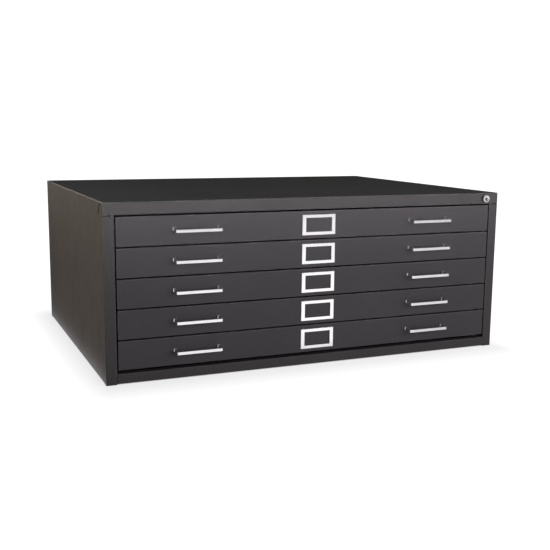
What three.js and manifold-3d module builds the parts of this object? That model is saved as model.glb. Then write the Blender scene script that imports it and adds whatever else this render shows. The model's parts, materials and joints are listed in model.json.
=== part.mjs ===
// Five-drawer flat file cabinet for large sheets: a folded steel case, five shallow drawers on rollers,
// chrome strap pulls and label holders, and a key lock in the header that moves one lock bar for all drawers.
// Millimetres. +X is to the right, +Y to the back, +Z up. The origin is on the floor, in the middle of
// everything, pulls included.
import * as THREE from "three";
import { mergeVertices } from "three/addons/utils/BufferGeometryUtils.js";
import Module from "manifold-3d";

const wasm = await Module();
wasm.setup();

// ---- Driving dimensions ----
const WIDTH = 1060;
const DEPTH = 800;
const HEIGHT = 419;
const DRAWERS = 5;

const CASE_SHEET = 1.2; // steel of the case and of the slide channels
const DRAWER_SHEET = 1.0; // steel of the drawers
const SEAM = 0.3; // gap between two pieces that touch
const BEND = 2.0; // bend radius at the middle of a sheet

const STILE = 25.8; // visible width of the front posts
const HEADER = 29.3; // visible height of the header above the drawers
const BASE_RAIL = 25; // visible height of the rail below the drawers
const BASE_GAP = 8.2; // open gap between the base rail and the lowest front
const FRONT_GAP = 3.2; // gap between two drawer fronts
const PITCH = 71.2; // from one drawer to the next
const FRONT_HEIGHT = PITCH - FRONT_GAP;
const FRONT_SIDE_GAP = 2.8; // between a drawer front and the post beside it
const FRONT_THICKNESS = 14; // depth of the hollow drawer front

// Folded edges of the case: how far each one turns in.
const CAP = { lip: 20, upturn: 10, rearFlange: 20, tabTop: 22, tabFoot: 45 };
const SIDE = { stileReturn: 18, rearReturn: 20, flange: 22 };
const BACK = { edge: 12 };
const PAN = { lip: 24, downturn: 9, rearGap: 18 };

const PULL_REACH = 26; // how far a pull stands out of the front
const PULL_X = 313; // from the middle of the cabinet to the middle of a pull
// A pull's bar lies lower than the ends of its legs, by its drop.
const PULL = { length: 112, strap: 4, height: 6.6, bend: 2.4, drop: 3 };

const LABEL = { width: 89, height: 50, side: 9.5, edge: 7.5, thickness: 2.2, slot: 0.9, overlap: 3 };

const SLIDE_SPACE = 11.7; // from a front's end to the tray's side wall, for the rollers
const TRAY = { height: 50, rise: 6, backGap: 45, frontLip: 8, railShort: 1.2 };
const POST = { width: 30, foot: 14, setback: 74, rear: 100 };
const CHANNEL = { setback: 34, rearGap: 25, floorRise: 14, headroom: 4, sideGap: 2, wallGap: 1.5 };

const ROLLER = { radius: 10, width: 7, bore: 2.8, axle: 2.5, rim: 0.8 };
const CASE_ROLLER_SETBACK = 48; // from the front of the cabinet to the axle of a case roller
const TRAY_ROLLER_INSET = 22; // from the back of a tray to the axle of its own roller
const TRAVEL = 580; // how far a drawer pulls out
const STOP = { height: 9, clearance: 0.8 }; // tabs in a channel that a tray's roller comes up against

const FLAP = { length: 120, drop: 38, setback: 24, rise: 46, lip: 8, lipRise: 5, sideGap: 3 };
const FLAP_PIN = { bead: 3, pin: 2.4, hole: 2.8 };
const HOOD = { depth: 118, below: 5, drop: 10, lip: 8, lipRise: 6 };

const LOCK = { fromSide: 41, fromTop: 15, stickOut: 7.5, face: 9.5, rim: 3.2, barrel: 7.9, bore: 6.4, plug: 6 };
const LOCK_REAR = 24; // from the face of the cabinet to the back of the lock's barrel
const KEYWAY = { width: 7, height: 1.4, depth: 6 };
// The key turns the cam a quarter turn, from this angle below the horizontal, and its pin lifts the lock bar.
const CAM = { reach: 7, pin: 2.2, start: Math.PI / 3, rim: 4, thickness: 2.3 };
const BAR = { sheet: 2, width: 14, setback: 28.5, slotGap: 0.9, rim: 3, fingerRise: 30, fingerHeight: 6 };
const CATCH = { setback: 32, sheet: 1.2, width: 9, rise: 46.5 };

// ---- Places that follow from them ----
const t = CASE_SHEET;
const d = DRAWER_SHEET;
const front = -(DEPTH + PULL_REACH) / 2 + PULL_REACH; // the face of the cabinet
const back = front + DEPTH;
const side = WIDTH / 2;
const headerFoot = HEIGHT - HEADER;
const opening = side - STILE;
const frontEnd = opening - FRONT_SIDE_GAP; // half the width of a drawer front
const wallOuter = frontEnd - SLIDE_SPACE; // outer face of a tray's side wall
const wallInner = wallOuter - d;
const trayFront = front + FRONT_THICKNESS + 2 * SEAM;
const trayBack = back - TRAY.backGap;
const webInner = opening - CHANNEL.sideGap; // the channels' webs
const flangeTip = wallOuter + CHANNEL.wallGap; // the free edges of the channels' flanges
const rollerX = (flangeTip + 1 + webInner - 2) / 2;
const lockX = side - LOCK.fromSide;
const lockZ = HEIGHT - LOCK.fromTop;

const numbers = Array.from({ length: DRAWERS }, (_, i) => i + 1);
// The foot of drawer n's front, with drawer 1 at the top.
const footOf = (n) => BASE_RAIL + BASE_GAP + (DRAWERS - n) * PITCH;
const middleOf = (n) => footOf(n) + FRONT_HEIGHT / 2;
const railTop = (n) => footOf(n) + TRAY.rise + TRAY.height;
const channelFloor = (n) => footOf(n) + CHANNEL.floorRise;
// Under a tray's rail, and on its channel's floor.
const caseAxle = (n) => ({ y: front + CASE_ROLLER_SETBACK, z: railTop(n) - d - SEAM - ROLLER.radius });
const trayAxle = (n) => ({ y: trayBack - TRAY_ROLLER_INSET, z: channelFloor(n) + t + SEAM + ROLLER.radius });

// ---- Materials ----
const material = (color, roughness, metalness) =>
  new THREE.MeshStandardMaterial({ color, roughness, metalness });
const casePaint = material(0x2b2a2b, 0.45, 0.0);
const drawerPaint = material(0x2d2c2d, 0.45, 0.0);
const chrome = material(0xe6e6e8, 0.12, 1.0);
const zincSteel = material(0xa7a9a8, 0.4, 1.0);
const nylon = material(0xe4e0d2, 0.5, 0.0);

// ---- Solids: three.js shapes, joined and cut with manifold-3d ----
function solidOf(geometry) {
  const plain = geometry.clone();
  plain.deleteAttribute("normal");
  plain.deleteAttribute("uv");
  const merged = mergeVertices(plain, 1e-4);
  return new wasm.Manifold(
    new wasm.Mesh({
      numProp: 3,
      vertProperties: merged.attributes.position.array,
      triVerts: new Uint32Array(merged.index.array),
    }),
  );
}

function geometryOf(solid) {
  const mesh = solid.getMesh();
  return new THREE.BufferGeometry()
    .setAttribute("position", new THREE.BufferAttribute(mesh.vertProperties, 3))
    .setIndex(new THREE.BufferAttribute(mesh.triVerts, 1));
}

const join = (...geometries) =>
  geometryOf(geometries.map(solidOf).reduce((a, b) => a.add(b)));
const cut = (geometry, ...tools) =>
  geometryOf(tools.map(solidOf).reduce((a, b) => a.subtract(b), solidOf(geometry)));

function box([x0, x1], [y0, y1], [z0, z1]) {
  return new THREE.BoxGeometry(x1 - x0, y1 - y0, z1 - z0).translate(
    (x0 + x1) / 2,
    (y0 + y1) / 2,
    (z0 + z1) / 2,
  );
}

// Each of these pushes an outline through the cabinet along one axis.
const extrude = (shape, length) =>
  new THREE.ExtrudeGeometry(shape, { depth: length, bevelEnabled: false, curveSegments: 3 });
const alongX = (shape, [x0, x1]) =>
  extrude(shape, x1 - x0).applyMatrix4(
    new THREE.Matrix4().set(0, 0, 1, x0, 1, 0, 0, 0, 0, 1, 0, 0, 0, 0, 0, 1),
  ); // the outline is (y, z)
const alongY = (shape, [y0, y1]) =>
  extrude(shape, y1 - y0).applyMatrix4(
    new THREE.Matrix4().set(1, 0, 0, 0, 0, 0, -1, y1, 0, 1, 0, 0, 0, 0, 0, 1),
  ); // the outline is (x, z)
const alongZ = (shape, [z0, z1]) => extrude(shape, z1 - z0).translate(0, 0, z0); // the outline is (x, y)

const outline = (points) => new THREE.Shape(points.map(([u, v]) => new THREE.Vector2(u, v)));

// The section of a folded sheet whose middle runs along a polyline, with a round bend at each corner.
function foldedSheet(path, thickness, bend = BEND) {
  const corners = path.map(([u, v]) => new THREE.Vector2(u, v));
  const line = [corners[0]];
  for (let i = 1; i < corners.length - 1; i++) {
    const here = corners[i];
    const before = corners[i - 1].clone().sub(here).setLength(bend);
    const after = corners[i + 1].clone().sub(here).setLength(bend);
    const curve = new THREE.QuadraticBezierCurve(here.clone().add(before), here, here.clone().add(after));
    line.push(...curve.getPoints(2));
  }
  line.push(corners.at(-1));
  const offset = (distance) =>
    line.map((point, i) => {
      const into = point.clone().sub(line[Math.max(i - 1, 0)]);
      const out = line[Math.min(i + 1, line.length - 1)].clone().sub(point);
      const a = (i ? into : out).clone().normalize();
      const b = (i < line.length - 1 ? out : into).clone().normalize();
      const normal = new THREE.Vector2(-a.y - b.y, a.x + b.x).normalize();
      const stretch = distance / (normal.x * -a.y + normal.y * a.x);
      return [point.x + normal.x * stretch, point.y + normal.y * stretch];
    });
  return outline([...offset(thickness / 2), ...offset(-thickness / 2).reverse()]);
}

// A rod along an axis, from one place to another on it.
function rod(axis, radius, [from, to], [u, v], segments = 16) {
  const geometry = new THREE.CylinderGeometry(radius, radius, to - from, segments);
  const middle = (from + to) / 2;
  if (axis === "x") return geometry.rotateZ(-Math.PI / 2).translate(middle, u, v);
  return geometry.translate(u, middle, v);
}

const mirrored = ([a, b]) => [-b, -a];
const onSide = (sign, range) => (sign > 0 ? range : mirrored(range));

const cabinet = new THREE.Group();
cabinet.name = "flat_file_cabinet";

function piece(name, geometry, finish) {
  const mesh = new THREE.Mesh(geometry, finish);
  mesh.name = name;
  cabinet.add(mesh);
  return mesh;
}

// ---- Case ----
// The header's end tabs wrap round the corner onto the side panels, with a slanted back edge.
function tabOutline(grow) {
  return outline([
    [front - grow, headerFoot - grow],
    [front + CAP.tabFoot + grow, headerFoot - grow],
    [front + CAP.tabTop + grow, HEIGHT + grow],
    [front - grow, HEIGHT + grow],
  ]);
}

function topCap() {
  const section = foldedSheet(
    [
      [front + CAP.lip, headerFoot + CAP.upturn],
      [front + CAP.lip, headerFoot + t / 2],
      [front + t / 2, headerFoot + t / 2],
      [front + t / 2, HEIGHT - t / 2],
      [back, HEIGHT - t / 2],
    ],
    t,
  );
  const tab = (range) => alongX(tabOutline(-t / 4), range);
  const rearFlange = side - SIDE.rearReturn - 1;
  const body = join(
    alongX(section, [-side, side]),
    tab([side - t, side]),
    tab([-side, -side + t]),
    box([-rearFlange, rearFlange], [back - t, back], [HEIGHT - CAP.rearFlange, HEIGHT - t / 2]),
  );
  // Behind the posts the header's inner lip gives way to the side panels.
  const lipY = [front + t + SEAM, front + CAP.lip + t];
  const lipRoom = (range) => box(range, lipY, [headerFoot - t, headerFoot + CAP.upturn + t]);
  const overPost = [opening - SEAM, side - t - SEAM];
  const lockHole = rod("y", LOCK.barrel + SEAM, [front - t, front + CAP.lip + t], [lockX, lockZ], 24);
  return cut(body, lipRoom(overPost), lipRoom(mirrored(overPost)), lockHole);
}
piece("top_cap", topCap(), casePaint);

function sidePanel(sign) {
  const top = HEIGHT - t - SEAM;
  const section = foldedSheet(
    [
      [sign * (opening + t / 2), front + SIDE.stileReturn],
      [sign * (opening + t / 2), front + t / 2],
      [sign * (side - t / 2), front + t / 2],
      [sign * (side - t / 2), back - t / 2],
      [sign * (side - SIDE.rearReturn), back - t / 2],
    ],
    t,
  );
  const flange = onSide(sign, [side - SIDE.flange, side - t / 2]);
  const flangeBack = back - SIDE.rearReturn - t;
  const corner = onSide(sign, [opening - t, side + t]);
  const body = cut(
    alongZ(section, [0, top]),
    alongX(tabOutline(SEAM), corner),
    box(corner, [front - t, front + CAP.lip + t], [headerFoot - SEAM, HEIGHT]),
  );
  return join(
    body,
    box(flange, [front + SIDE.stileReturn + t, flangeBack], [0, t]),
    box(flange, [front + CAP.tabFoot + t, flangeBack], [top - t, top]),
  );
}
piece("left_side_panel", sidePanel(-1), casePaint);
piece("right_side_panel", sidePanel(1), casePaint);

function backPanel() {
  const y = back - 1.5 * t - SEAM;
  const half = side - 1.5 * t - SEAM;
  const section = foldedSheet(
    [
      [-half, y - BACK.edge],
      [-half, y],
      [half, y],
      [half, y - BACK.edge],
    ],
    t,
  );
  return alongZ(section, [2 * (t + SEAM), HEIGHT - 2 * (t + SEAM)]);
}
piece("back_panel", backPanel(), casePaint);

// The floor of the case lies on the side panels' bottom flanges, and folds up into the rail under the drawers.
function basePan() {
  const floor = t + SEAM;
  const half = opening - SEAM;
  const wings = side - t - 3 * SEAM - 1;
  const rear = back - PAN.rearGap;
  const section = foldedSheet(
    [
      [front + PAN.lip, BASE_RAIL - PAN.downturn],
      [front + PAN.lip, BASE_RAIL - t / 2],
      [front + t / 2, BASE_RAIL - t / 2],
      [front + t / 2, floor + t / 2],
      [rear, floor + t / 2],
    ],
    t,
  );
  return join(
    alongX(section, [-half, half]),
    box([-wings, wings], [front + SIDE.stileReturn + 2 * t, rear], [floor, floor + t]),
  );
}
piece("base_pan", basePan(), casePaint);

// ---- Slide racks: three posts on each side panel carry one channel for each drawer ----
const SLIDE_BEND = 1.2; // bend radius of the slides' thinner parts

function rackPost(sign, y) {
  const inner = sign * (webInner + 1.6);
  const outer = sign * (side - 1.5 * t - SEAM);
  const section = foldedSheet(
    [
      [outer, y - POST.foot],
      [outer, y],
      [inner, y],
      [inner, y + POST.width],
      [outer, y + POST.width],
      [outer, y + POST.width + POST.foot],
    ],
    t,
    SLIDE_BEND,
  );
  return alongZ(section, [2 * (t + SEAM), HEIGHT - 2 * (t + SEAM)]);
}

function channel(sign, n) {
  const web = sign * (webInner + t / 2);
  const tip = sign * flangeTip;
  const floor = channelFloor(n) + t / 2;
  const roof = railTop(n) + CHANNEL.headroom + t / 2;
  const section = foldedSheet(
    [
      [tip, floor],
      [web, floor],
      [web, roof],
      [tip, roof],
    ],
    t,
    SLIDE_BEND,
  );
  return alongY(section, [front + CHANNEL.setback, back - CHANNEL.rearGap]);
}

// The tabs stand where a tray's roller ends its travel, in front and behind.
function stopTabs(sign, n) {
  const near = trayAxle(n).y - TRAVEL - ROLLER.radius - STOP.clearance - t;
  const far = trayAxle(n).y + ROLLER.radius + STOP.clearance;
  const across = onSide(sign, [flangeTip + 1, webInner - 2]);
  const height = [channelFloor(n) + t / 2, channelFloor(n) + t + STOP.height];
  return [near, far].map((y) => box(across, [y, y + t], height));
}

function slideRack(sign) {
  const axle = (n) =>
    rod("x", ROLLER.axle, onSide(sign, [flangeTip + 0.5, webInner + t / 2]), [caseAxle(n).y, caseAxle(n).z]);
  const posts = [front + POST.setback, (front + back - POST.width) / 2, back - POST.rear];
  return join(
    ...posts.map((y) => rackPost(sign, y)),
    ...numbers.map((n) => channel(sign, n)),
    ...numbers.map(axle),
    ...numbers.flatMap((n) => stopTabs(sign, n)),
  );
}
piece("left_slide_rack", slideRack(-1), zincSteel);
piece("right_slide_rack", slideRack(1), zincSteel);

// A roller is a ring with chamfered rims, turning about X.
function roller() {
  const half = ROLLER.width / 2;
  const ring = [
    [ROLLER.bore, -half],
    [ROLLER.radius - ROLLER.rim, -half],
    [ROLLER.radius, -half + ROLLER.rim],
    [ROLLER.radius, half - ROLLER.rim],
    [ROLLER.radius - ROLLER.rim, half],
    [ROLLER.bore, half],
    [ROLLER.bore, -half],
  ].map(([r, along]) => new THREE.Vector2(r, along));
  return new THREE.LatheGeometry(ring, 16).rotateZ(-Math.PI / 2);
}

// ---- Drawers ----
// A pan with side rails, closed by a front wall and a back wall, with a hood over the back of the sheets.
function tray(n) {
  const foot = footOf(n) + TRAY.rise;
  const top = railTop(n);
  const wall = wallOuter - d / 2;
  const rail = frontEnd - TRAY.railShort;
  const pan = foldedSheet(
    [
      [-rail, top - d / 2],
      [-wall, top - d / 2],
      [-wall, foot + d / 2],
      [wall, foot + d / 2],
      [wall, top - d / 2],
      [rail, top - d / 2],
    ],
    d,
    SLIDE_BEND,
  );
  const hoodEdge = [trayBack - HOOD.depth, top - HOOD.below - HOOD.drop];
  const hood = foldedSheet(
    [
      [trayBack - d / 2, top - HOOD.below],
      hoodEdge,
      [hoodEdge[0] - HOOD.lip, hoodEdge[1] + HOOD.lipRise],
    ],
    d,
  );
  const across = [-wallOuter, wallOuter];
  const axle = trayAxle(n);
  const stub = (sign) =>
    rod("x", ROLLER.axle, onSide(sign, [wall, rollerX + ROLLER.width / 2 + 0.5]), [axle.y, axle.z]);
  // The lug under the right rail that the lock bar's finger rises to when the cabinet is locked.
  const lug = box(
    [wall, wallOuter + CATCH.width],
    [front + CATCH.setback, front + CATCH.setback + CATCH.sheet],
    [footOf(n) + CATCH.rise, top - d / 2],
  );
  const body = join(
    alongY(pan, [trayFront, trayBack]),
    box(across, [trayFront, trayFront + d], [foot + d, top + TRAY.frontLip]),
    box(across, [trayBack - d, trayBack], [foot + d, top]),
    alongX(hood, [-wall, wall]),
    stub(-1),
    stub(1),
    lug,
  );
  return cut(body, rod("x", FLAP_PIN.hole, [-side, side], [front + FLAP.setback, footOf(n) + FLAP.rise]));
}

// A box folded from one sheet, open at the back.
function drawerFront(n) {
  const foot = footOf(n);
  const head = foot + FRONT_HEIGHT;
  const skin = new THREE.Shape();
  skin.moveTo(front + FRONT_THICKNESS, foot);
  skin.lineTo(front + FRONT_THICKNESS, head);
  skin.lineTo(front + BEND, head);
  skin.absarc(front + BEND, head - BEND, BEND, Math.PI / 2, Math.PI, false);
  skin.lineTo(front, foot + BEND);
  skin.absarc(front + BEND, foot + BEND, BEND, Math.PI, 1.5 * Math.PI, false);
  const inside = box(
    [-frontEnd + d, frontEnd - d],
    [front + d, front + FRONT_THICKNESS + d],
    [foot + d, head - d],
  );
  return cut(alongX(skin, [-frontEnd, frontEnd]), inside);
}

// A flap across the front of the drawer that keeps the sheets flat. It lies on the tray's floor when empty.
function depressor(n) {
  const y = front + FLAP.setback;
  const z = footOf(n) + FLAP.rise;
  const run = Math.sqrt(FLAP.length ** 2 - FLAP.drop ** 2);
  const half = wallInner - FLAP.sideGap;
  const sheet = foldedSheet(
    [
      [y, z],
      [y + run, z - FLAP.drop],
      [y + run + FLAP.lip, z - FLAP.drop + FLAP.lipRise],
    ],
    d,
  );
  return join(
    alongX(sheet, [-half, half]),
    rod("x", FLAP_PIN.bead, [-half, half], [y, z]),
    rod("x", FLAP_PIN.pin, [-wallOuter - SEAM, wallOuter + SEAM], [y, z]),
  );
}

// A flat strap bent into a U, whose legs slope down from the front to the bar.
function pull(n, sign) {
  const half = (PULL.length - PULL.strap) / 2;
  const bar = front - PULL_REACH + PULL.strap / 2;
  const plan = foldedSheet(
    [
      [-half, front - SEAM],
      [-half, bar],
      [half, bar],
      [half, front - SEAM],
    ],
    PULL.strap,
    PULL.bend,
  );
  const slope = PULL.drop / (front - bar);
  const lean = new THREE.Matrix4().set(1, 0, 0, 0, 0, 1, 0, 0, 0, slope, 1, -slope * bar, 0, 0, 0, 1);
  return alongZ(plan, [-PULL.height / 2, PULL.height / 2])
    .applyMatrix4(lean)
    .translate(sign * PULL_X, 0, middleOf(n));
}

// A frame with a slot behind it: the card slides in from the top, against the drawer front.
function labelHolder(n) {
  const z = middleOf(n);
  const y = [front - SEAM - LABEL.thickness, front - SEAM];
  const half = { x: LABEL.width / 2, z: LABEL.height / 2 };
  const window = { x: half.x - LABEL.side, z: half.z - LABEL.edge };
  const card = { x: window.x + LABEL.overlap, foot: z - window.z - LABEL.overlap };
  return cut(
    box([-half.x, half.x], y, [z - half.z, z + half.z]),
    box([-window.x, window.x], [y[0] - 1, y[1] + 1], [z - window.z, z + window.z]),
    box([-card.x, card.x], [y[1] - LABEL.slot, y[1] + 1], [card.foot, z + half.z + 1]),
  );
}

for (const n of numbers) {
  piece(`drawer_${n}_tray`, tray(n), drawerPaint);
  piece(`drawer_${n}_front`, drawerFront(n), drawerPaint);
  piece(`drawer_${n}_depressor`, depressor(n), drawerPaint);
  piece(`drawer_${n}_label_holder`, labelHolder(n), chrome);
  for (const [hand, sign] of [["left", -1], ["right", 1]]) {
    piece(`drawer_${n}_${hand}_pull`, pull(n, sign), chrome);
    const onTray = piece(`drawer_${n}_${hand}_roller`, roller(), nylon);
    onTray.position.set(sign * rollerX, trayAxle(n).y, trayAxle(n).z);
    const onCase = piece(`case_${hand}_roller_${n}`, roller(), nylon);
    onCase.position.set(sign * rollerX, caseAxle(n).y, caseAxle(n).z);
  }
}

// ---- Lock: a cylinder through the header, a key plug with a cam, and a bar behind the right post ----
const camFront = front + LOCK_REAR + 1;
const barFront = front + BAR.setback;

function lockCylinder() {
  const face = front - LOCK.stickOut;
  const rear = front + LOCK_REAR;
  const ring = [
    [LOCK.bore, face],
    [LOCK.face - 1, face],
    [LOCK.face, face + 1],
    [LOCK.face, face + LOCK.rim],
    [LOCK.barrel, face + LOCK.rim + 0.6],
    [LOCK.barrel, rear],
    [LOCK.bore, rear],
    [LOCK.bore, face],
  ].map(([r, y]) => new THREE.Vector2(r, y));
  return new THREE.LatheGeometry(ring, 24).translate(lockX, 0, lockZ);
}
piece("lock_cylinder", lockCylinder(), chrome);

function lockPlug() {
  const face = front - LOCK.stickOut + 0.4;
  const cam = join(
    box(
      [-CAM.rim - 1, CAM.reach + CAM.rim],
      [camFront - 0.2, camFront + CAM.thickness],
      [-CAM.rim - 0.5, CAM.rim + 0.5],
    ),
    rod("y", CAM.pin, [camFront + CAM.thickness / 2, barFront + BAR.sheet + 1.5], [CAM.reach, 0], 12),
  ).rotateY(CAM.start);
  const keyway = box(
    [-KEYWAY.width / 2, KEYWAY.width / 2],
    [face - 1, face + KEYWAY.depth],
    [-KEYWAY.height / 2, KEYWAY.height / 2],
  );
  return cut(join(rod("y", LOCK.plug, [face, camFront], [0, 0], 24), cam), keyway);
}
const plug = piece("lock_plug", lockPlug(), chrome);
plug.position.set(lockX, 0, lockZ);

// A flat bar with a slot for the cam's pin, and a finger for each drawer.
function lockBar() {
  const y = [barFront, barFront + BAR.sheet];
  const strip = [opening + 1.5, opening + 1.5 + BAR.width];
  const pinZ = lockZ - CAM.reach * Math.sin(CAM.start);
  const room = CAM.pin + BAR.slotGap;
  const slotX = [lockX + CAM.reach * Math.cos(CAM.start) - room, lockX + CAM.reach + room];
  const slotZ = [pinZ - room, pinZ + room];
  const fingers = numbers.map((n) => {
    const foot = footOf(n) + BAR.fingerRise;
    return box([wallOuter + 5, strip[0] + 1], y, [foot, foot + BAR.fingerHeight]);
  });
  const stripFoot = footOf(DRAWERS) + BAR.fingerRise - 8;
  return cut(
    join(
      box(strip, y, [stripFoot, slotZ[1] + BAR.rim]),
      box([slotX[0] - BAR.rim, strip[0] + 1], y, [slotZ[0] - BAR.rim, slotZ[1] + BAR.rim]),
      ...fingers,
    ),
    box(slotX, [y[0] - 1, y[1] + 1], slotZ),
  );
}
piece("lock_bar", lockBar(), zincSteel);

export default cabinet;
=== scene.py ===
"""Looks of the five-drawer flat file cabinet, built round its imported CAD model.

Folded sheet steel is made from the flat faces of its outer side: they are bent where they meet and then
given their thickness inward. Turned parts are lathed. Everything is in metres, +X right, +Y back, +Z up.
"""

import json
import math

import bmesh
import bpy
from mathutils import Matrix, Vector


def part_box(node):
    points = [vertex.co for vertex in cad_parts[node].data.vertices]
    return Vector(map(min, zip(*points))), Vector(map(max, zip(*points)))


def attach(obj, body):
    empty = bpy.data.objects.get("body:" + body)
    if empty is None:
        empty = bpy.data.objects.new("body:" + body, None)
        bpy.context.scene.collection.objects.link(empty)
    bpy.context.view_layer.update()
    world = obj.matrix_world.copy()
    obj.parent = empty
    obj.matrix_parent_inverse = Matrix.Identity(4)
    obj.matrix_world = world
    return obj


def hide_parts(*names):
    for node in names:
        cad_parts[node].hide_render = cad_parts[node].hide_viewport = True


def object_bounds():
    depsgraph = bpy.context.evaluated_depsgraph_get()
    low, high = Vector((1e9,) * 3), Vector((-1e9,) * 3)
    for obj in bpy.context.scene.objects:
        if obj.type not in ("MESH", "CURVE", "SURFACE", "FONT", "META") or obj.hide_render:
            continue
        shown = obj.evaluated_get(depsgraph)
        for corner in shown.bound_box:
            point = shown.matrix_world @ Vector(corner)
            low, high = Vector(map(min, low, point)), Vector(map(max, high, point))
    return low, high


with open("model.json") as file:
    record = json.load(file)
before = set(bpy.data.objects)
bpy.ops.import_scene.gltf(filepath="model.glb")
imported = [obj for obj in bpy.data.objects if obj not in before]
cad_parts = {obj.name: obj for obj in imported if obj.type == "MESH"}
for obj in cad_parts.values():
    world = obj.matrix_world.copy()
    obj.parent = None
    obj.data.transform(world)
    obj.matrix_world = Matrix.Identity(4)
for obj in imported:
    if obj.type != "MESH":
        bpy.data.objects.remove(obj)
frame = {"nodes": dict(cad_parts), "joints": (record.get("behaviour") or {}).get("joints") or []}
cad_low, cad_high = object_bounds()

MM = 0.001

# ---- Sheet steel ----
CASE_SHEET = 1.2 * MM
DRAWER_SHEET = 1.0 * MM
BEND = 2.3 * MM  # outer radius of a fold in the case and the drawer fronts
SMALL_BEND = 1.6 * MM  # outer radius of a fold in a tray or a slide
TIGHT_BEND = 1.5 * MM  # outer radius of the folds in the base pan
BEND_STEPS = 6
RIM = 0.25 * MM  # rounding of a cut edge
RIM_STEPS = 2
FOLD_ANGLE = math.radians(8)  # two flat faces that meet at more than this are bent
SHARP_ANGLE = math.radians(60)  # an edge sharper than this is rounded
SEAM = 0.3 * MM  # open line between two sheets that meet
WELD_GAP = 0.1 * MM  # between two sheets that are welded together
RELIEF = 0.4 * MM  # notch where a fold ends in the middle of an edge

# ---- Places, from the CAD model ----
cap_low, cap_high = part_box("top_cap")
post_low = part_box("right_side_panel")[0]
SIDE_X = cap_high.x
FRONT_Y = cap_low.y
BACK_Y = cap_high.y
TOP_Z = cap_high.z
HEADER_FOOT = cap_low.z
OPENING_X = post_low.x
RAIL_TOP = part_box("base_pan")[1].z
DRAWERS = range(1, 6)

# ---- Case details ----
CAP_LIP = 20.6 * MM
CAP_UPTURN = 10 * MM
CAP_REAR_FLANGE = 20 * MM
CAP_REAR_GAP = 1 * MM  # between the rear flange and the rear return of a side
CAP_EDGE = 2.6 * MM  # the top is turned down this far along its sides
TAB_TOP = 22 * MM
TAB_FOOT = 45 * MM
TAB_GAP = 6.5 * MM  # the slanted rear edge of a tab stands off the side panel by this
CORNER_SEAM = 2.0 * MM  # open seam between header and post, over the outer part of the post
CORNER_SEAM_LENGTH = 19 * MM
POST_RETURN = 18 * MM
REAR_RETURN = 20 * MM
FOOT_FLANGE = 22 * MM
FOOT_FLANGE_GAP = 2 * MM  # at both ends of the flange that a side stands on
BACK_PANEL_SETBACK = CASE_SHEET + SEAM
PAN_LIP = 24.6 * MM
PAN_DOWNTURN = 9 * MM
PAN_REAR_GAP = 18 * MM

# ---- Drawer details ----
WALL_INSET = 10.5 * MM  # from a tray rail's free edge to the outer face of its wall
TRAY_LIP = 8 * MM  # the tray's front wall stands this far above the rails
TRAY_FLANGE = 14 * MM
HOOD_BELOW = 5 * MM  # the hood joins the back wall this far below the rails
HOOD_DROP = 10 * MM  # and it drops this far to its front edge
HOOD_DEPTH = 118 * MM
HOOD_LIP = 8 * MM
HOOD_LIP_RISE = 6 * MM
CATCH_WIDTH = 9 * MM  # the lug that the lock bar holds
CATCH_SETBACK = 32 * MM
CATCH_FOOT = 46.5 * MM
PULL_STRAP = 4 * MM
PULL_HEIGHT = 6.6 * MM
PULL_BEND = 3.4 * MM
PULL_DROP = 3 * MM  # the bar hangs this far below the feet of its legs
PULL_EDGE = 0.4 * MM
PULL_COLLAR = 0.9 * MM  # how far the collar at the foot of a leg spreads round it
PULL_COLLAR_HEIGHT = 0.5 * MM
PULL_COLLAR_EDGE = 0.1 * MM
LABEL_SIDE = 9.5 * MM  # width of the frame at its left and right
LABEL_EDGE = 7.5 * MM  # width of the frame at its top and foot
LABEL_SHEET = 0.8 * MM
LABEL_SLOT = 0.9 * MM
LABEL_BEND = 0.7 * MM
LABEL_RIM = 0.2 * MM

# ---- Slides ----
CHANNEL_SETBACK = 34 * MM
CHANNEL_REAR_GAP = 25 * MM
POST_WIDTH = 30 * MM
POST_FOOT = 14 * MM
POST_FRONT = 74 * MM
POST_REAR = 100 * MM
CHANNEL_WEB = OPENING_X - 0.8 * MM  # outer face of a channel's web
CHANNEL_TIP = 1.5 * MM  # a channel's free edges stand off the tray's wall by this
CHANNEL_FLOOR = 14 * MM
CHANNEL_HEADROOM = 4 * MM
STOP_HEIGHT = 9 * MM
STOP_CLEARANCE = 0.8 * MM
STOP_INSET = 1 * MM  # from a stop tab to the channel's free edge
STOP_GAP = 2 * MM  # from a stop tab to the inner face of the channel's web
TRAVEL = next(joint for joint in frame["joints"] if joint["name"] == "drawer_1_slide")["range_m"][1]
AXLE = 2.5 * MM
AXLE_HEAD = 4.2 * MM
AXLE_INSET = 0.5 * MM  # from an axle's inner end to the channel's free edge
WASHER = 0.6 * MM
ROD_CHAMFER = 0.4 * MM
ROLLER_RADIUS = 10 * MM
# Half the outline of a roller, from its bore to its tread, as (radius, half width) in millimetres.
ROLLER_OUTLINE = [
    (2.8, 3.5),
    (4.4, 3.5),
    (4.8, 3.2),
    (5.1, 2.3),
    (7.3, 2.3),
    (7.7, 3.2),
    (8.1, 3.5),
    (9.1, 3.5),
    (9.6, 3.3),
    (9.9, 2.9),
    (10.0, 2.3),
]
HANDS = (("left", -1), ("right", 1))

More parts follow.
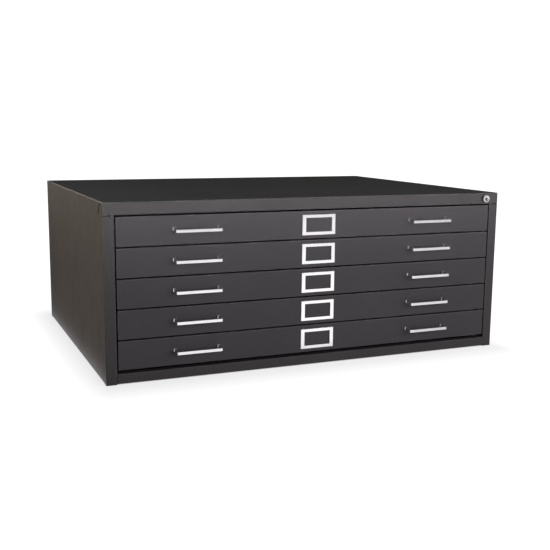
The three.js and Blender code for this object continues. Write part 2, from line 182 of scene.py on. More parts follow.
# ---- Flap, screws and welds ----
FLAP_CURL = 3 * MM  # radius of the curl round the hinge wire
FLAP_CURL_CHAMFER = 0.6 * MM
FLAP_LIP = 8 * MM
FLAP_LIP_RISE = 5 * MM
FLAP_WIRE = 2.2 * MM
FLAP_WIRE_END = 4.3 * MM
SCREW_RADIUS = 4.2 * MM
SCREW_HEIGHT = 2.4 * MM
HEAD_ANGLES = (1.57, 1.25, 0.9, 0.55, 0.3)  # radians from the crown of a screw's head, rim first
RECESS_LENGTH = 3.6 * MM
RECESS_WIDTH = 0.9 * MM
WELD_COUNT = 8  # in the row along a tray's flange
WELD_RADIUS = 2.6 * MM
WELD_HEIGHT = 0.3 * MM
WELD_FROM_POST_EDGE = 8 * MM
WELD_FROM_CHANNEL_EDGE = 12 * MM

# ---- Lock ----
# Outlines of the lock's body and of its plug's nose, as (radius, distance behind the face) in millimetres.
LOCK_RING = [
    (6.2, 0.4),
    (6.5, 0.0),
    (8.8, 0.0),
    (9.2, 0.12),
    (9.4, 0.4),
    (9.5, 1.0),
    (9.5, 2.8),
    (9.3, 3.1),
    (8.9, 3.3),
    (7.9, 3.5),
]
LOCK_BORE = 6.2
LOCK_BARREL = 7.9
PLUG_NOSE = [(0, 0), (5.3, 0), (5.7, 0.12), (6.0, 0.5)]
PLUG_BARREL = 6.0
KEYWAY_WIDTH = 7.4 * MM
KEYWAY_HEIGHT = 2.2 * MM
KEYWAY_DEPTH = 6 * MM
KEYHOLE = 2.1 * MM  # radius of the round middle of the keyway
CAM_SETBACK = 25 * MM
CAM_START = math.radians(60)  # the cam points this far off level in the rest pose
CAM_REACH = 7 * MM
CAM_RIM = 4 * MM
CAM_TAIL = 5 * MM
CAM_HALF = 4.5 * MM
CAM_SHEET = 2.3 * MM
CAM_CORNER = 0.8 * MM
CAM_PIN = 2.2 * MM
CAM_PIN_CHAMFER = 0.4 * MM
BAR_EDGE = 0.35 * MM


def centre_of(node):
    low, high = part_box(node)
    return (low + high) / 2


# ---------------------------------------------------------------- mesh tools
def strips(axis, path, span):
    """The flat strips of a sheet folded along an axis, from its outer line across the axis and its ends."""
    place = {
        "x": lambda along, p: (along, p[0], p[1]),
        "y": lambda along, p: (p[0], along, p[1]),
        "z": lambda along, p: (p[0], p[1], along),
    }[axis]
    start, end = span
    return [
        [place(start, a), place(start, b), place(end, b), place(end, a)]
        for a, b in zip(path, path[1:])
    ]


def thicken(bm, thickness):
    """Gives an open shell its thickness on the inner side of its faces."""
    bm.normal_update()
    outer = list(bm.faces)
    inner = {
        v: bm.verts.new(v.co - v.normal * thickness * v.calc_shell_factor())
        for v in list(bm.verts)
    }
    ends = [
        (loop.vert, loop.link_loop_next.vert)
        for face in outer
        for loop in face.loops
        if loop.edge.is_boundary
    ]
    for face in outer:
        bm.faces.new([inner[v] for v in reversed(face.verts)])
    for a, b in ends:
        bm.faces.new([b, a, inner[a], inner[b]])


def bevel(bm, angle, width, steps):
    """Rounds every edge whose two faces meet at more than an angle."""
    edges = [e for e in bm.edges if len(e.link_faces) == 2 and e.calc_face_angle() > angle]
    if edges:
        bmesh.ops.bevel(
            bm,
            geom=edges,
            offset=width,
            offset_type="OFFSET",
            segments=steps,
            profile=0.5,
            affect="EDGES",
            clamp_overlap=True,
        )


def round_edges(bm, width):
    """Rounds the sharp edges of a mesh."""
    bm.normal_update()
    bevel(bm, SHARP_ANGLE, width, RIM_STEPS)


def append(target, bm):
    """Adds one mesh to another and frees it."""
    mesh = bpy.data.meshes.new("part")
    bm.to_mesh(mesh)
    bm.free()
    target.from_mesh(mesh)
    bpy.data.meshes.remove(mesh)


def add_sheet(target, polygons, outward, thickness, bend=BEND, rim=RIM, change=None):
    """Adds a folded sheet. The polygons are its outer side, and the first one looks towards outward."""
    bm = bmesh.new()
    shared = {}
    for corners in polygons:
        keys = [tuple(round(c, 6) for c in corner) for corner in corners]
        for key in keys:
            if key not in shared:
                shared[key] = bm.verts.new(key)
        bm.faces.new([shared[key] for key in keys])
    bmesh.ops.recalc_face_normals(bm, faces=bm.faces)
    bm.faces.ensure_lookup_table()
    if bm.faces[0].normal.dot(Vector(outward)) < 0:
        bmesh.ops.reverse_faces(bm, faces=bm.faces)
    bevel(bm, FOLD_ANGLE, bend, BEND_STEPS)
    thicken(bm, thickness)
    if rim:
        round_edges(bm, rim)
    if change:
        for vert in bm.verts:
            vert.co = change(vert.co)
    append(target, bm)


def add_lathe(target, profile, place, steps=32, closed=True):
    """Adds a solid turned about the local Z axis from (radius, height) points, moved by a matrix."""
    bm = bmesh.new()
    rings = []
    for radius, height in profile:
        count = steps if radius > 0 else 1
        angles = [2 * math.pi * i / steps for i in range(count)]
        ring = [Vector((radius * math.cos(a), radius * math.sin(a), height)) for a in angles]
        rings.append([bm.verts.new(place @ point) for point in ring])
    pairs = list(zip(rings, rings[1:]))
    if closed:
        pairs.append((rings[-1], rings[0]))
    for low, high in pairs:
        for i in range(steps):
            j = (i + 1) % steps
            corners = [low[i % len(low)], low[j % len(low)], high[j % len(high)], high[i % len(high)]]
            corners = list(dict.fromkeys(corners))
            if len(corners) > 2:
                bm.faces.new(corners)
    bmesh.ops.recalc_face_normals(bm, faces=bm.faces)
    append(target, bm)


def add_block(target, low, high, rim=RIM, change=None):
    """Adds a block with rounded edges between two corners."""
    bm = bmesh.new()
    size = Vector(high) - Vector(low)
    centre = (Vector(high) + Vector(low)) / 2
    matrix = Matrix.Translation(centre) @ Matrix.Diagonal((*size, 1))
    bmesh.ops.create_cube(bm, size=1, matrix=matrix)
    round_edges(bm, rim)
    if change:
        for vert in bm.verts:
            vert.co = change(vert.co)
    append(target, bm)


def along(axis, place):
    """A matrix that lays the local Z axis along X, Y or -Y at a place."""
    turns = {
        "x": Matrix.Rotation(math.pi / 2, 4, "Y"),
        "y": Matrix.Rotation(-math.pi / 2, 4, "X"),
        "-y": Matrix.Rotation(math.pi / 2, 4, "X"),
        "z": Matrix.Identity(4),
    }
    return Matrix.Translation(place) @ turns[axis]


def add_dome(target, place, axis, radius, height, steps=16):
    """Adds a low dome, such as a weld spot or a rivet head, whose base is sunk a little."""
    sink = -0.15 * MM
    profile = [(0, sink), (radius, sink), (radius, 0)]
    profile += [
        (radius * math.cos(a), height * math.sin(a))
        for a in (math.radians(30), math.radians(60))
    ]
    profile.append((0, height))
    add_lathe(target, profile, along(axis, place), steps, closed=False)


def object_of(bm):
    """A plain object of a mesh, for a cut."""
    mesh = bpy.data.meshes.new("cutting")
    bm.to_mesh(mesh)
    bm.free()
    made = bpy.data.objects.new("cutting", mesh)
    bpy.context.scene.collection.objects.link(made)
    return made


def subtract(whole, cutter):
    """Cuts one object out of another, and removes the cutter."""
    modifier = whole.modifiers.new("cut", "BOOLEAN")
    modifier.operation = "DIFFERENCE"
    modifier.solver = "EXACT"
    modifier.object = cutter
    bpy.context.view_layer.update()
    seen = whole.evaluated_get(bpy.context.evaluated_depsgraph_get())
    mesh = bpy.data.meshes.new_from_object(seen)
    whole.modifiers.clear()
    whole.data = mesh
    bpy.data.objects.remove(cutter)


def cut_box(whole, centre, size):
    """Cuts a box out of an object."""
    cutter = bmesh.new()
    matrix = Matrix.Translation(centre) @ Matrix.Diagonal((*size, 1))
    bmesh.ops.create_cube(cutter, size=1, matrix=matrix)
    subtract(whole, object_of(cutter))


def mesh_of(whole):
    """The mesh of an object, which is removed."""
    bm = bmesh.new()
    bm.from_mesh(whole.data)
    bpy.data.objects.remove(whole)
    return bm


def finish_piece(name, body, bm, material, replaces=()):
    """Makes the object of a mesh: smooth with flat faces kept flat, riding on its body."""
    for face in bm.faces:
        face.smooth = True
    mesh = bpy.data.meshes.new(name)
    bm.to_mesh(mesh)
    bm.free()
    mesh.materials.append(material)
    piece = bpy.data.objects.new(name, mesh)
    bpy.context.scene.collection.objects.link(piece)
    normals = piece.modifiers.new("flat_faces", "WEIGHTED_NORMAL")
    normals.keep_sharp = True
    normals.weight = 100
    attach(piece, body)
    if replaces:
        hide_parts(*replaces)
    return piece


# ---------------------------------------------------------------- materials
def add_node(tree, kind, inputs=None, **settings):
    node = tree.nodes.new("ShaderNode" + kind)
    for name, value in settings.items():
        setattr(node, name, value)
    for socket, value in (inputs or {}).items():
        if isinstance(value, bpy.types.NodeSocket):
            tree.links.new(value, node.inputs[socket])
        else:
            node.inputs[socket].default_value = value
    return node


def new_material(name):
    """A material and its tree, with the Principled shader that it ends in."""
    material = bpy.data.materials.new(name)
    material.use_nodes = True
    tree = material.node_tree
    return material, tree, tree.nodes["Principled BSDF"]


def noise(tree, where, scale, detail=3.0, roughness=0.5):
    """Cloudy noise from 0 to 1. The scale is in clouds for each metre."""
    inputs = {"Vector": where, "Scale": scale, "Detail": detail, "Roughness": roughness}
    return add_node(tree, "TexNoise", inputs).outputs["Fac"]


def ranged(tree, value, low, high, new_low, new_high):
    """Maps low..high to new_low..new_high, and stops at both ends."""
    inputs = {
        "Value": value,
        "From Min": low,
        "From Max": high,
        "To Min": new_low,
        "To Max": new_high,
    }
    return add_node(tree, "MapRange", inputs).outputs["Result"]


def maths(tree, operation, a, b):
    return add_node(tree, "Math", {0: a, 1: b}, operation=operation).outputs[0]


def mixed(tree, factor, a, b):
    """The colour a where the factor is 0 and b where it is 1."""
    node = add_node(tree, "Mix", data_type="RGBA")
    tree.links.new(factor, node.inputs["Factor"])
    for socket, value in ((6, a), (7, b)):
        if isinstance(value, bpy.types.NodeSocket):
            tree.links.new(value, node.inputs[socket])
        else:
            node.inputs[socket].default_value = (*value, 1)
    return node.outputs[2]


def fold_masks(tree):
    """Two masks that are 0 on flat faces.

    The first is 1 on every fold and edge, the second only on those between a side and the top.
    """
    normal = add_node(tree, "TexCoord").outputs["Normal"]
    parts = add_node(tree, "SeparateXYZ", {0: normal}).outputs
    across, along_y, up = [maths(tree, "ABSOLUTE", part, 0.0) for part in parts]
    largest = maths(tree, "MAXIMUM", maths(tree, "MAXIMUM", across, along_y), up)
    shoulder = maths(tree, "MINIMUM", across, up)
    return ranged(tree, largest, 0.9, 0.995, 1.0, 0.0), ranged(tree, shoulder, 0.05, 0.3, 0.0, 1.0)


def powder_coat(name, colour, wear_and_highlight_colour, least_wear_and_highlight, shoulder_highlight_colour):
    """Black baked enamel: a fine pebbled skin, faint cloudiness, paint rubbed thin on the folds with a
    painted highlight along them, and a stronger painted highlight where a side meets the top.
    """
    material, tree, shader = new_material(name)
    where = add_node(tree, "TexCoord").outputs["Object"]
    clouds = noise(tree, where, scale=5.0, detail=5.0, roughness=0.6)
    grain = noise(tree, where, scale=420.0, detail=2.0)
    specks = noise(tree, where, scale=1500.0, detail=1.0)
    cloudy = ranged(tree, clouds, 0.3, 0.7, 0.0, 1.0)
    lighter = tuple(c * 1.14 for c in colour)
    base = mixed(tree, cloudy, colour, lighter)
    palest = tuple(c * 2.8 for c in colour)
    speckled = mixed(tree, ranged(tree, specks, 0.62, 0.72, 0.0, 0.35), base, palest)
    rubbed = noise(tree, where, scale=60.0, detail=4.0, roughness=0.7)
    fold, shoulder = fold_masks(tree)
    # The lighter fold colour is partly paint rubbed thin and partly a painted highlight along the folds.
    wear_and_highlight = maths(tree, "MULTIPLY", fold, ranged(tree, rubbed, 0.35, 0.65, least_wear_and_highlight, 0.8))
    folded = mixed(tree, wear_and_highlight, speckled, wear_and_highlight_colour)
    # Where a side meets the top, a much lighter colour is painted on the fold as a highlight.
    tree.links.new(mixed(tree, shoulder, folded, shoulder_highlight_colour), shader.inputs["Base Color"])
    smudges = noise(tree, where, scale=16.0, roughness=0.6)
    roughness = ranged(tree, smudges, 0.3, 0.7, 0.40, 0.45)
    roughness = maths(tree, "SUBTRACT", roughness, maths(tree, "MULTIPLY", fold, 0.2))
    tree.links.new(roughness, shader.inputs["Roughness"])
    shader.inputs["Specular IOR Level"].default_value = 0.2
    skin = add_node(tree, "Bump", {"Height": grain, "Strength": 0.35, "Distance": 0.06 * MM})
    tree.links.new(skin.outputs["Normal"], shader.inputs["Normal"])
    return material


def bright_metal(name, colour, roughness, streak_axis, streak=0.06, pit=None):
    """Plated metal with fine polishing marks along one axis.

    A pit is the Y of the mouth of a hole: from just behind it to 7 mm deeper the metal is painted near
    black, as painted shade in the hole.
    """
    material, tree, shader = new_material(name)
    where = add_node(tree, "TexCoord").outputs["Object"]
    stretch = [2200.0, 2200.0, 2200.0]
    stretch["xyz".index(streak_axis)] = 40.0
    lines = add_node(tree, "Mapping", {"Vector": where, "Scale": stretch}).outputs["Vector"]
    marks = noise(tree, lines, scale=1.0, detail=2.0)
    haze = noise(tree, where, scale=45.0, detail=4.0, roughness=0.6)
    dull = tuple(c * 0.86 for c in colour)
    tint = mixed(tree, ranged(tree, haze, 0.35, 0.75, 0.0, 0.6), colour, dull)
    if pit is not None:
        # Painted shade: inside the keyway the metal is coloured near black, where shade falls.
        depth = add_node(tree, "SeparateXYZ", {0: where}).outputs[1]
        mouth = ranged(tree, depth, pit + 0.3 * MM, pit + 0.9 * MM, 0.0, 1.0)
        bottom = ranged(tree, depth, pit + 7.0 * MM, pit + 8.0 * MM, 1.0, 0.0)
        tint = mixed(tree, maths(tree, "MULTIPLY", mouth, bottom), tint, (0.012, 0.011, 0.01))
    tree.links.new(tint, shader.inputs["Base Color"])
    shader.inputs["Metallic"].default_value = 1.0
    rough = maths(tree, "ADD", ranged(tree, marks, 0.3, 0.7, 0.0, streak), roughness)
    tree.links.new(rough, shader.inputs["Roughness"])
    bump = add_node(tree, "Bump", {"Height": marks, "Strength": 0.15, "Distance": 0.01 * MM})
    tree.links.new(bump.outputs["Normal"], shader.inputs["Normal"])
    return material


def zinc_plate(name):
    """Zinc-plated steel: small spangle, faint warm and cool patches, satin."""
    material, tree, shader = new_material(name)
    where = add_node(tree, "TexCoord").outputs["Object"]
    spangle = add_node(tree, "TexVoronoi", {"Vector": where, "Scale": 160.0})
    tone = add_node(tree, "SeparateColor", {0: spangle.outputs["Color"]}).outputs[0]
    patches = noise(tree, where, scale=9.0)
    warmth = ranged(tree, patches, 0.35, 0.65, 0.0, 1.0)
    cool_warm = mixed(tree, warmth, (0.50, 0.52, 0.55), (0.60, 0.58, 0.53))
    tint = mixed(tree, ranged(tree, tone, 0.0, 1.0, 0.0, 0.35), cool_warm, (0.42, 0.42, 0.43))
    tree.links.new(tint, shader.inputs["Base Color"])
    shader.inputs["Metallic"].default_value = 1.0
    tree.links.new(ranged(tree, tone, 0.0, 1.0, 0.34, 0.48), shader.inputs["Roughness"])
    dust = noise(tree, where, scale=300.0, detail=2.0)
    bump = add_node(tree, "Bump", {"Height": dust, "Strength": 0.2, "Distance": 0.04 * MM})
    tree.links.new(bump.outputs["Normal"], shader.inputs["Normal"])
    return material


def moulded_nylon(name):
    """Natural nylon: off-white, a little cloudy, with grey dirt from the rails."""
    material, tree, shader = new_material(name)
    where = add_node(tree, "TexCoord").outputs["Object"]
    cloud = noise(tree, where, scale=220.0)
    dirt = noise(tree, where, scale=90.0, detail=5.0, roughness=0.7)
    body = mixed(tree, cloud, (0.74, 0.71, 0.62), (0.80, 0.78, 0.71))
    soiled = mixed(tree, ranged(tree, dirt, 0.52, 0.72, 0.0, 0.6), body, (0.32, 0.31, 0.28))
    tree.links.new(soiled, shader.inputs["Base Color"])
    tree.links.new(ranged(tree, cloud, 0.3, 0.7, 0.42, 0.55), shader.inputs["Roughness"])
    bump = add_node(tree, "Bump", {"Height": cloud, "Strength": 0.2, "Distance": 0.05 * MM})
    tree.links.new(bump.outputs["Normal"], shader.inputs["Normal"])
    return material


CASE_PAINT = powder_coat(
    "black_case_enamel",
    colour=(0.026, 0.025, 0.025),
    # Paint rubbed thin on the folds, with a painted highlight along them.
    wear_and_highlight_colour=(0.075, 0.073, 0.071),
    least_wear_and_highlight=0.1,
    # A painted highlight along the folds between the sides and the top.
    shoulder_highlight_colour=(0.30, 0.29, 0.27),
)
DRAWER_PAINT = powder_coat(
    "black_drawer_enamel",
    colour=(0.027, 0.026, 0.027),
    # Paint rubbed thin on the folds, with a painted highlight along them.
    wear_and_highlight_colour=(0.10, 0.098, 0.098),
    least_wear_and_highlight=0.2,
    # A painted highlight along the folds between the sides and the top.
    shoulder_highlight_colour=(0.10, 0.098, 0.098),
)
PULL_CHROME = bright_metal("pull_chrome", (0.90, 0.90, 0.91), 0.30, "x")
LABEL_CHROME = bright_metal("label_chrome", (0.97, 0.97, 0.97), 0.25, "x")
LOCK_CHROME = bright_metal("lock_chrome", (0.92, 0.92, 0.93), 0.14, "y")
# Its keyway is coloured near black as painted shade.
PLUG_METAL = bright_metal("lock_plug_metal", (0.92, 0.92, 0.93), 0.18, "y", pit=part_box("lock_plug")[0].y)
ZINC = zinc_plate("zinc_plate")
NYLON = moulded_nylon("natural_nylon")


# ---------------------------------------------------------------- case
def top_cap():
    """The top with its header, lip, rear flange, and an end tab round each front corner."""
    bm = bmesh.new()
    lip_x = OPENING_X - SEAM
    lip_back = FRONT_Y + CAP_LIP
    flange_x = SIDE_X - REAR_RETURN - CAP_REAR_GAP
    foot = HEADER_FOOT
    edge_z = TOP_Z - CAP_EDGE
    polygons = [
        [
            (-SIDE_X, FRONT_Y, TOP_Z),
            (SIDE_X, FRONT_Y, TOP_Z),
            (SIDE_X, BACK_Y, TOP_Z),
            (-SIDE_X, BACK_Y, TOP_Z),
        ],
        [
            (-SIDE_X, FRONT_Y, TOP_Z),
            (SIDE_X, FRONT_Y, TOP_Z),
            (SIDE_X, FRONT_Y, foot),
            (lip_x + RELIEF, FRONT_Y, foot),
            (lip_x, FRONT_Y, foot),
            (-lip_x, FRONT_Y, foot),
            (-lip_x - RELIEF, FRONT_Y, foot),
            (-SIDE_X, FRONT_Y, foot),
        ],
    ]
    lip = [(FRONT_Y, foot), (lip_back, foot), (lip_back, foot + CAP_UPTURN)]
    polygons += strips("x", lip, (-lip_x, lip_x))
    for x in (-SIDE_X, SIDE_X):
        polygons.append(
            [
                (x, FRONT_Y, TOP_Z),
                (x, FRONT_Y, foot),
                (x, FRONT_Y + TAB_FOOT, foot),
                (x, FRONT_Y + TAB_TOP, edge_z),
                (x, BACK_Y, edge_z),
                (x, BACK_Y, TOP_Z),
            ]
        )
    polygons.append(
        [
            (-SIDE_X, BACK_Y, TOP_Z),
            (SIDE_X, BACK_Y, TOP_Z),
            (SIDE_X, BACK_Y, edge_z),
            (flange_x, BACK_Y, edge_z),
            (flange_x, BACK_Y, TOP_Z - CAP_REAR_FLANGE),
            (-flange_x, BACK_Y, TOP_Z - CAP_REAR_FLANGE),
            (-flange_x, BACK_Y, edge_z),
            (-SIDE_X, BACK_Y, edge_z),
        ]
    )
    add_sheet(bm, polygons, (0, 0, 1), CASE_SHEET)
    return finish_piece("top_cap_formed", "cabinet", bm, CASE_PAINT, ["top_cap"])


def side_panel(hand, sign):
    """A side with its front post, the post's return, the rear return, and the flange it stands on."""
    bm = bmesh.new()
    x = sign * SIDE_X
    inner = sign * OPENING_X
    seam_end = sign * (SIDE_X - CORNER_SEAM_LENGTH)
    top = TOP_Z - CAP_EDGE - SEAM
    post_top = HEADER_FOOT - CORNER_SEAM
    inner_top = HEADER_FOOT - SEAM / 2
    side_top = HEADER_FOOT - SEAM
    rear_x = sign * (SIDE_X - REAR_RETURN)
    flange_front = FRONT_Y + POST_RETURN + FOOT_FLANGE_GAP
    flange_back = BACK_Y - REAR_RETURN - FOOT_FLANGE_GAP
    polygons = [
        [
            (x, FRONT_Y, 0),
            (x, flange_front - RELIEF, 0),
            (x, flange_front, 0),
            (x, flange_back, 0),
            (x, flange_back + RELIEF, 0),
            (x, BACK_Y, 0),
            (x, BACK_Y, top),
            (x, FRONT_Y + TAB_TOP + TAB_GAP, top),
            (x, FRONT_Y + TAB_FOOT + TAB_GAP, side_top),
            (x, FRONT_Y + RELIEF + BEND, side_top),
            (x, FRONT_Y + BEND, post_top),
            (x, FRONT_Y, post_top),
        ],
        [
            (x, FRONT_Y, 0),
            (inner, FRONT_Y, 0),
            (inner, FRONT_Y, inner_top),
            (seam_end, FRONT_Y, inner_top),
            (seam_end, FRONT_Y, post_top),
            (x, FRONT_Y, post_top),
        ],
        [
            (inner, FRONT_Y, 0),
            (inner, FRONT_Y, inner_top),
            (inner, FRONT_Y + POST_RETURN, inner_top),
            (inner, FRONT_Y + POST_RETURN, 0),
        ],
        [
            (x, BACK_Y, 0),
            (x, BACK_Y, top),
            (rear_x, BACK_Y, top),
            (rear_x, BACK_Y, 0),
        ],
    ]
    flange_x = sign * (SIDE_X - FOOT_FLANGE)
    polygons.append(
        [
            (x, flange_front, 0),
            (x, flange_back, 0),
            (flange_x, flange_back, 0),
            (flange_x, flange_front, 0),
        ]
    )
    add_sheet(bm, polygons, (sign, 0, 0), CASE_SHEET)
    node = f"{hand}_side_panel"
    return finish_piece(f"{node}_formed", "cabinet", bm, CASE_PAINT, [node])


def back_panel():
    """The recessed back, its edges turned in along the rear returns."""
    bm = bmesh.new()
    low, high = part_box("back_panel")
    y = BACK_Y - BACK_PANEL_SETBACK
    path = [(low.x, low.y), (low.x, y), (high.x, y), (high.x, low.y)]
    add_sheet(bm, strips("z", path, (low.z, high.z)), (-1, 0, 0), CASE_SHEET)
    return finish_piece("back_panel_formed", "cabinet", bm, CASE_PAINT, ["back_panel"])


def base_pan():
    """The floor of the case, folded up into the rail under the drawers."""
    bm = bmesh.new()
    x = OPENING_X - SEAM
    floor = CASE_SHEET + SEAM
    lip = FRONT_Y + PAN_LIP
    rear = BACK_Y - PAN_REAR_GAP
    path = [
        (rear, floor),
        (FRONT_Y, floor),
        (FRONT_Y, RAIL_TOP),
        (lip, RAIL_TOP),
        (lip, RAIL_TOP - PAN_DOWNTURN),
    ]
    add_sheet(bm, strips("x", path, (-x, x)), (0, 0, -1), CASE_SHEET, TIGHT_BEND)
    return finish_piece("base_pan_formed", "cabinet", bm, CASE_PAINT, ["base_pan"])


top_cap()
side_panel("left", -1)
side_panel("right", 1)
back_panel()
base_pan()


# ---------------------------------------------------------------- drawers
def drawer_front(n):
    """A hollow front: its face and four flanges folded from one sheet."""
    bm = bmesh.new()
    low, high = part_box(f"drawer_{n}_front")
    corners = [(low.x, low.z), (high.x, low.z), (high.x, high.z), (low.x, high.z)]
    polygons = [[(x, low.y, z) for x, z in corners]]
    for (x0, z0), (x1, z1) in zip(corners, corners[1:] + corners[:1]):
        polygons.append([(x0, low.y, z0), (x1, low.y, z1), (x1, high.y, z1), (x0, high.y, z0)])
    add_sheet(bm, polygons, (0, -1, 0), DRAWER_SHEET)
    node = f"drawer_{n}_front"
    return finish_piece(f"{node}_formed", f"drawer_{n}", bm, DRAWER_PAINT, [node])


def add_collar(target, foot, half_size):
    """Adds a low collar that spreads from a leg of this half size to the drawer front at its foot."""
    half_x, half_z = (size + PULL_COLLAR for size in half_size)
    low = foot - Vector((half_x, PULL_COLLAR_HEIGHT, half_z))
    high = foot + Vector((half_x, 0, half_z))

    def narrow(point):
        rise = (foot.y - point.y) / PULL_COLLAR_HEIGHT * PULL_COLLAR
        x = foot.x + (point.x - foot.x) * (1 - rise / half_x)
        z = foot.z + (point.z - foot.z) * (1 - rise / half_z)
        return Vector((x, point.y, z))

    add_block(target, low, high, PULL_COLLAR_EDGE, narrow)


def pull(n, hand):
    """A strap bent into a U, whose legs slope down from the front to the bar."""
    bm = bmesh.new()
    node = f"drawer_{n}_{hand}_pull"
    low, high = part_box(node)
    front_low, front_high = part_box(f"drawer_{n}_front")
    middle = (front_low.z + front_high.z) / 2
    path = [(low.x, high.y), (low.x, low.y), (high.x, low.y), (high.x, high.y)]
    slope = PULL_DROP / (high.y - low.y - PULL_STRAP / 2)

    def lean(point):
        return Vector((point.x, point.y, point.z + slope * (point.y - low.y - PULL_STRAP / 2)))

    span = (middle - PULL_HEIGHT / 2, middle + PULL_HEIGHT / 2)
    add_sheet(bm, strips("z", path, span), (-1, 0, 0), PULL_STRAP, PULL_BEND, PULL_EDGE, lean)
    for x in (low.x + PULL_STRAP / 2, high.x - PULL_STRAP / 2):
        add_collar(bm, Vector((x, high.y, middle + PULL_DROP)), (PULL_STRAP / 2, PULL_HEIGHT / 2))
    return finish_piece(f"{node}_formed", f"drawer_{n}", bm, PULL_CHROME, [node])


def label_holder(n):
    """A pressed frame with a slot behind its top edge for the card."""
    bm = bmesh.new()
    node = f"drawer_{n}_label_holder"
    low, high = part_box(node)
    outer = [(low.x, low.z), (high.x, low.z), (high.x, high.z), (low.x, high.z)]
    inner = [
        (low.x + LABEL_SIDE, low.z + LABEL_EDGE),
        (high.x - LABEL_SIDE, low.z + LABEL_EDGE),
        (high.x - LABEL_SIDE, high.z - LABEL_EDGE),
        (low.x + LABEL_SIDE, high.z - LABEL_EDGE),
    ]
    polygons = []
    for i in range(4):
        j = (i + 1) % 4
        (ox, oz), (px, pz) = outer[i], outer[j]
        (ix, iz), (jx, jz) = inner[i], inner[j]
        polygons.append([(ox, low.y, oz), (px, low.y, pz), (jx, low.y, jz), (ix, low.y, iz)])
        rear = high.y - LABEL_SLOT if i == 2 else high.y
        polygons.append([(ox, low.y, oz), (px, low.y, pz), (px, rear, pz), (ox, rear, oz)])
    add_sheet(bm, polygons, (0, -1, 0), LABEL_SHEET, LABEL_BEND, LABEL_RIM)
    return finish_piece(f"{node}_formed", f"drawer_{n}", bm, LABEL_CHROME, [node])


for n in DRAWERS:
    drawer_front(n)
    pull(n, "left")
    pull(n, "right")
    label_holder(n)


# ---------------------------------------------------------------- inside the drawers
def rod(target, x0, x1, place, radius, chamfer=ROD_CHAMFER, steps=24):
    """Adds a rod along X between two places on it, its ends chamfered."""
    start, end = sorted((x0, x1))
    length = end - start
    profile = [
        (0, 0),
        (radius - chamfer, 0),
        (radius, chamfer),
        (radius, length - chamfer),
        (radius - chamfer, length),
        (0, length),
    ]
    add_lathe(target, profile, along("x", (start, place[0], place[1])), steps, closed=False)


def tray(n):
    """The pan with its rails, the front and back walls, the hood, the roller stubs and the lock lug."""
    bm = bmesh.new()
    node = f"drawer_{n}_tray"
    low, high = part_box(node)
    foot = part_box(f"drawer_{n}_front")[0].z
    rail = high.z - TRAY_LIP
    edge = high.x
    wall = edge - WALL_INSET
    t = DRAWER_SHEET
    pan = [
        (-edge, rail - t),
        (-wall, rail - t),
        (-wall, low.z),
        (wall, low.z),
        (wall, rail - t),
        (edge, rail - t),
    ]
    add_sheet(bm, strips("y", pan, (low.y, high.y)), (0, 0, -1), t, SMALL_BEND)
    across = (-wall + t, wall - t)
    base = low.z + t
    front_wall = [(low.y + TRAY_FLANGE, base), (low.y, base), (low.y, high.z)]
    add_sheet(bm, strips("x", front_wall, across), (0, 0, -1), t, SMALL_BEND)
    back_wall = [(high.y - TRAY_FLANGE, base), (high.y, base), (high.y, rail)]
    add_sheet(bm, strips("x", back_wall, across), (0, 0, -1), t, SMALL_BEND)
    hood_edge = (high.y - HOOD_DEPTH, rail - HOOD_BELOW - HOOD_DROP)
    hood = [
        (high.y - t, rail - HOOD_BELOW),
        hood_edge,
        (hood_edge[0] - HOOD_LIP, hood_edge[1] + HOOD_LIP_RISE),
    ]
    add_sheet(bm, strips("x", hood, across), (0, 0, 1), t, SMALL_BEND)
    for hand, sign in HANDS:
        middle = centre_of(f"drawer_{n}_{hand}_roller")
        place = (middle.y, middle.z)
        rod(bm, sign * (wall - t), sign * edge, place, AXLE)
        rod(bm, sign * wall, sign * (wall + WASHER), place, AXLE_HEAD)
    lug_y = FRONT_Y + CATCH_SETBACK
    add_block(
        bm,
        (wall, lug_y, foot + CATCH_FOOT),
        (wall + CATCH_WIDTH, lug_y + CASE_SHEET, rail - t),
    )
    spots = [x * wall / WELD_COUNT for x in range(-WELD_COUNT + 1, WELD_COUNT, 2)]
    for x in spots:
        add_dome(bm, (x, low.y + TRAY_FLANGE / 2, base + t), "z", WELD_RADIUS, WELD_HEIGHT)
        add_dome(bm, (x, high.y - TRAY_FLANGE / 2, base + t), "z", WELD_RADIUS, WELD_HEIGHT)
    return finish_piece(f"{node}_formed", f"drawer_{n}", bm, DRAWER_PAINT, [node])


def depressor(n):
    """The flap that keeps the sheets flat: its front edge is curled round the hinge wire."""
    bm = bmesh.new()
    node = f"drawer_{n}_depressor"
    low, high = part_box(node)
    y = low.y + FLAP_CURL
    z = high.z - FLAP_CURL
    t = DRAWER_SHEET
    run = high.y - FLAP_LIP - y
    path = [(y, z + t / 2), (y + run, low.z + t / 2), (high.y, low.z + t / 2 + FLAP_LIP_RISE)]
    half = high.x - FLAP_WIRE_END
    add_sheet(bm, strips("x", path, (-half, half)), (0, 0, 1), t, SMALL_BEND)
    rod(bm, -half, half, (y, z), FLAP_CURL, chamfer=FLAP_CURL_CHAMFER, steps=28)
    rod(bm, -high.x, high.x, (y, z), FLAP_WIRE)
    return finish_piece(f"{node}_formed", node, bm, DRAWER_PAINT, [node])


